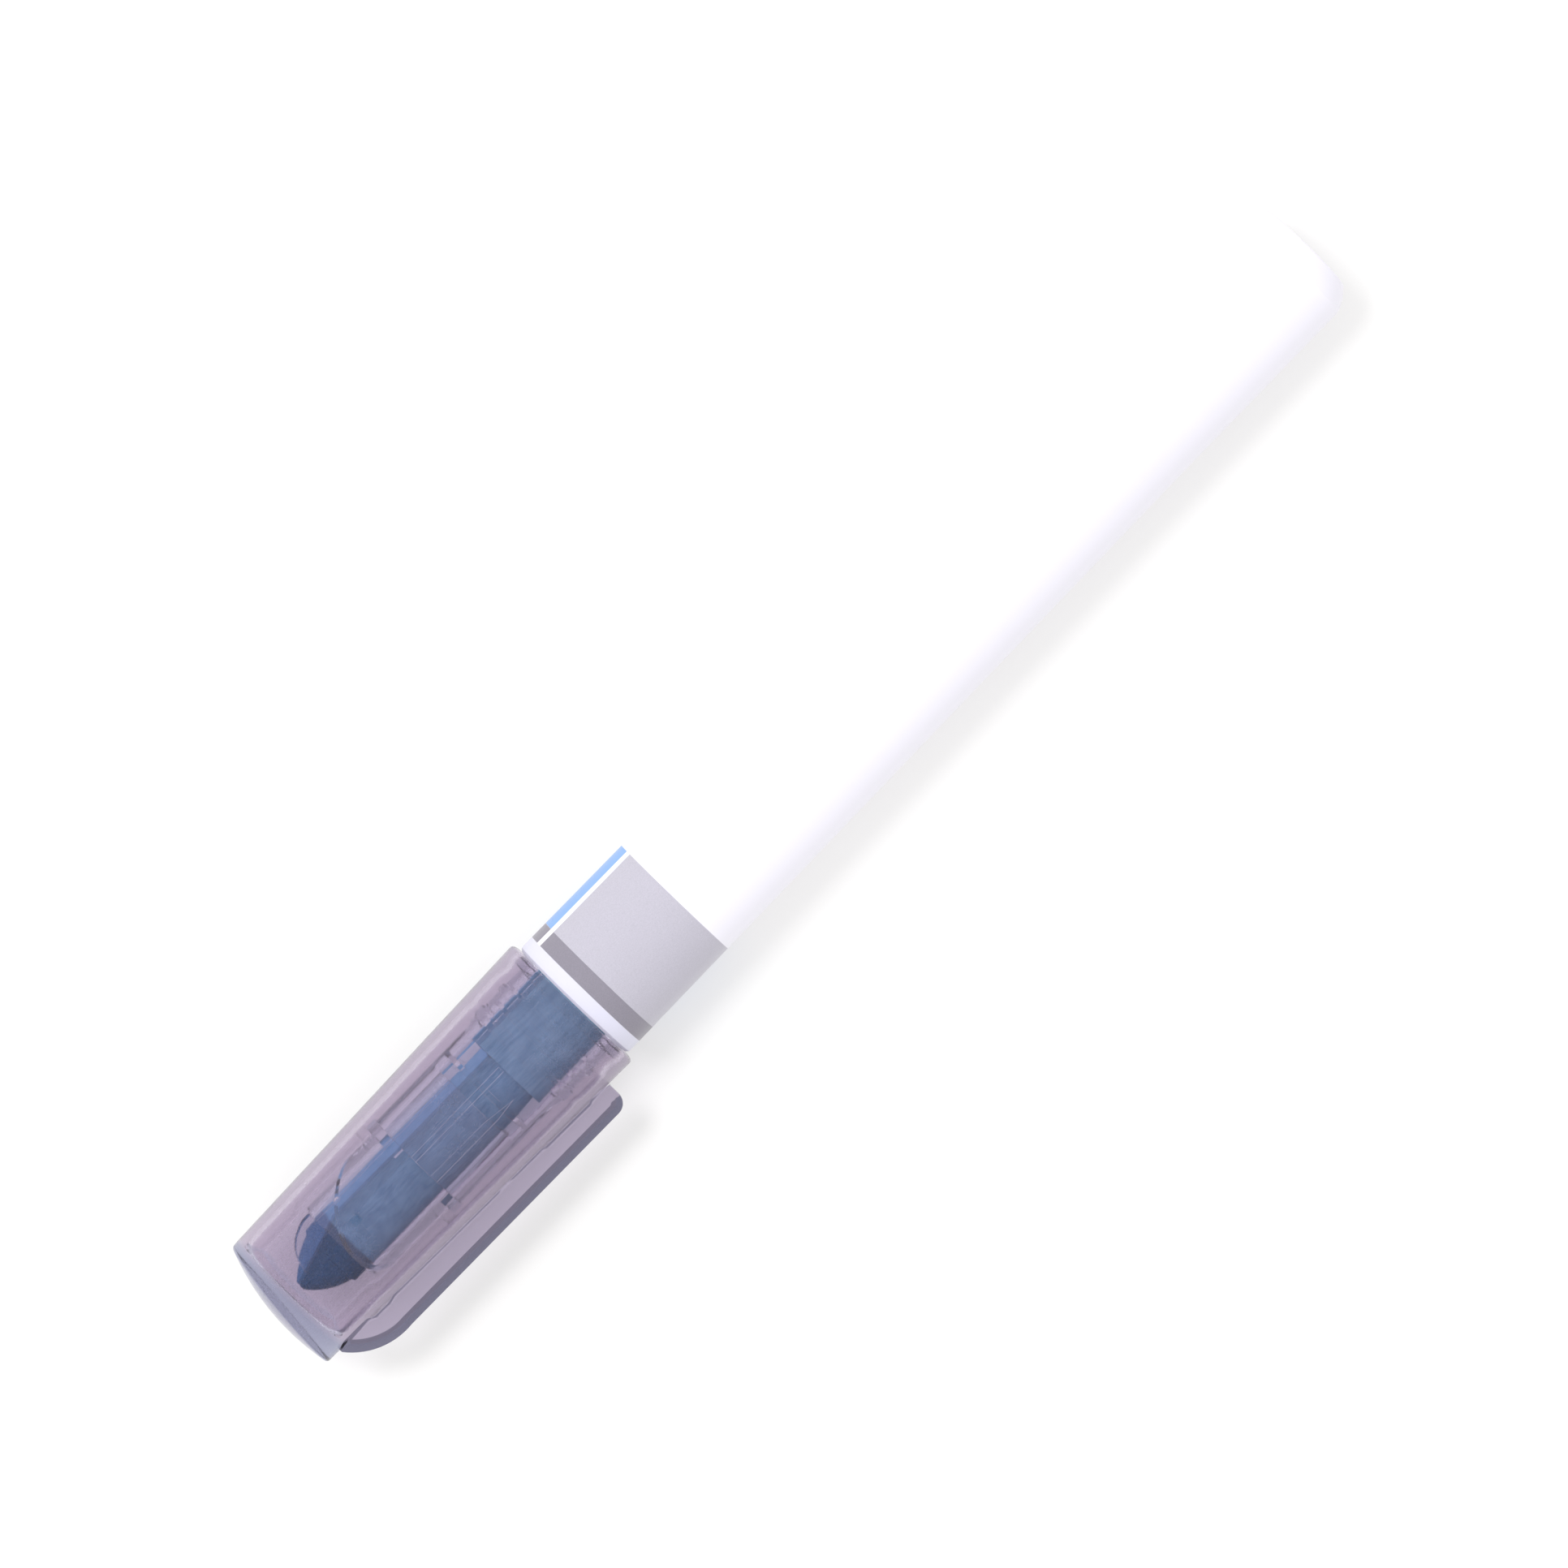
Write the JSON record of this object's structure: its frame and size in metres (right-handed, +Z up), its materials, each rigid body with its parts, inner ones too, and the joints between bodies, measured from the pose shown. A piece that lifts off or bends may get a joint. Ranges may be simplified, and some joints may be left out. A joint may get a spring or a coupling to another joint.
{
  "type": "two-colour marker pen",
  "caption": "Slim round marker pen with a clear push-on cap, side clip, split two-colour chisel nib and twin ink stores.",
  "frame": {"origin": "centre of the flat tail face, on the pen's axis", "axes": "+X along the pen from the tail to the writing end, +Y out through the cap's clip, +Z up with the pen lying down"},
  "size_m": [0.137, 0.0179, 0.0154],
  "materials": {
    "white_barrel": "white polypropylene, satin, with a grey and a blue printed band",
    "clear_section": "clear moulded plastic",
    "clear_divider": "clear moulded plastic",
    "gray_nib_fibre": "porous fibre soaked in dark grey ink",
    "blue_nib_fibre": "porous fibre soaked in blue ink",
    "film": "thin clear film",
    "gray_ink_fibre": "ink-soaked fibre",
    "blue_ink_fibre": "ink-soaked fibre",
    "clear_liner": "clear moulded plastic",
    "smoky_cap": "see-through smoky violet plastic, glossy",
    "smoky_clip": "see-through smoky violet plastic, glossy"
  },
  "bodies": {
    "pen_body": {"barrel": "white_barrel", "front_section": "clear_section", "nose_piece": "clear_section", "nib_divider": "clear_divider", "gray_nib": "gray_nib_fibre", "blue_nib": "blue_nib_fibre", "gray_reservoir_sleeve": "film", "gray_reservoir": "gray_ink_fibre", "blue_reservoir_sleeve": "film", "blue_reservoir": "blue_ink_fibre"},
    "cap_liner": {"inner_cap": "clear_liner"},
    "cap": {"outer_cap": "smoky_cap"},
    "clip": {"pocket_clip": "smoky_clip"}
  },
  "joints": [
    {"name": "cap_pull", "type": "slide", "parent": "pen_body", "child": "cap_liner", "axis": [1, 0, 0], "range_m": [0, 0.05]},
    {"name": "cap_turn", "type": "hinge", "parent": "cap_liner", "child": "cap", "pos_m": [0.12, 0, 0], "axis": [1, 0, 0], "continuous": true},
    {"name": "clip_flex", "type": "hinge", "parent": "cap", "child": "clip", "pos_m": [0.13495, 0.00705, 0], "axis": [0, 0, -1], "range_deg": [0, 4], "stiffness_Nm_per_rad": 2}
  ]
}
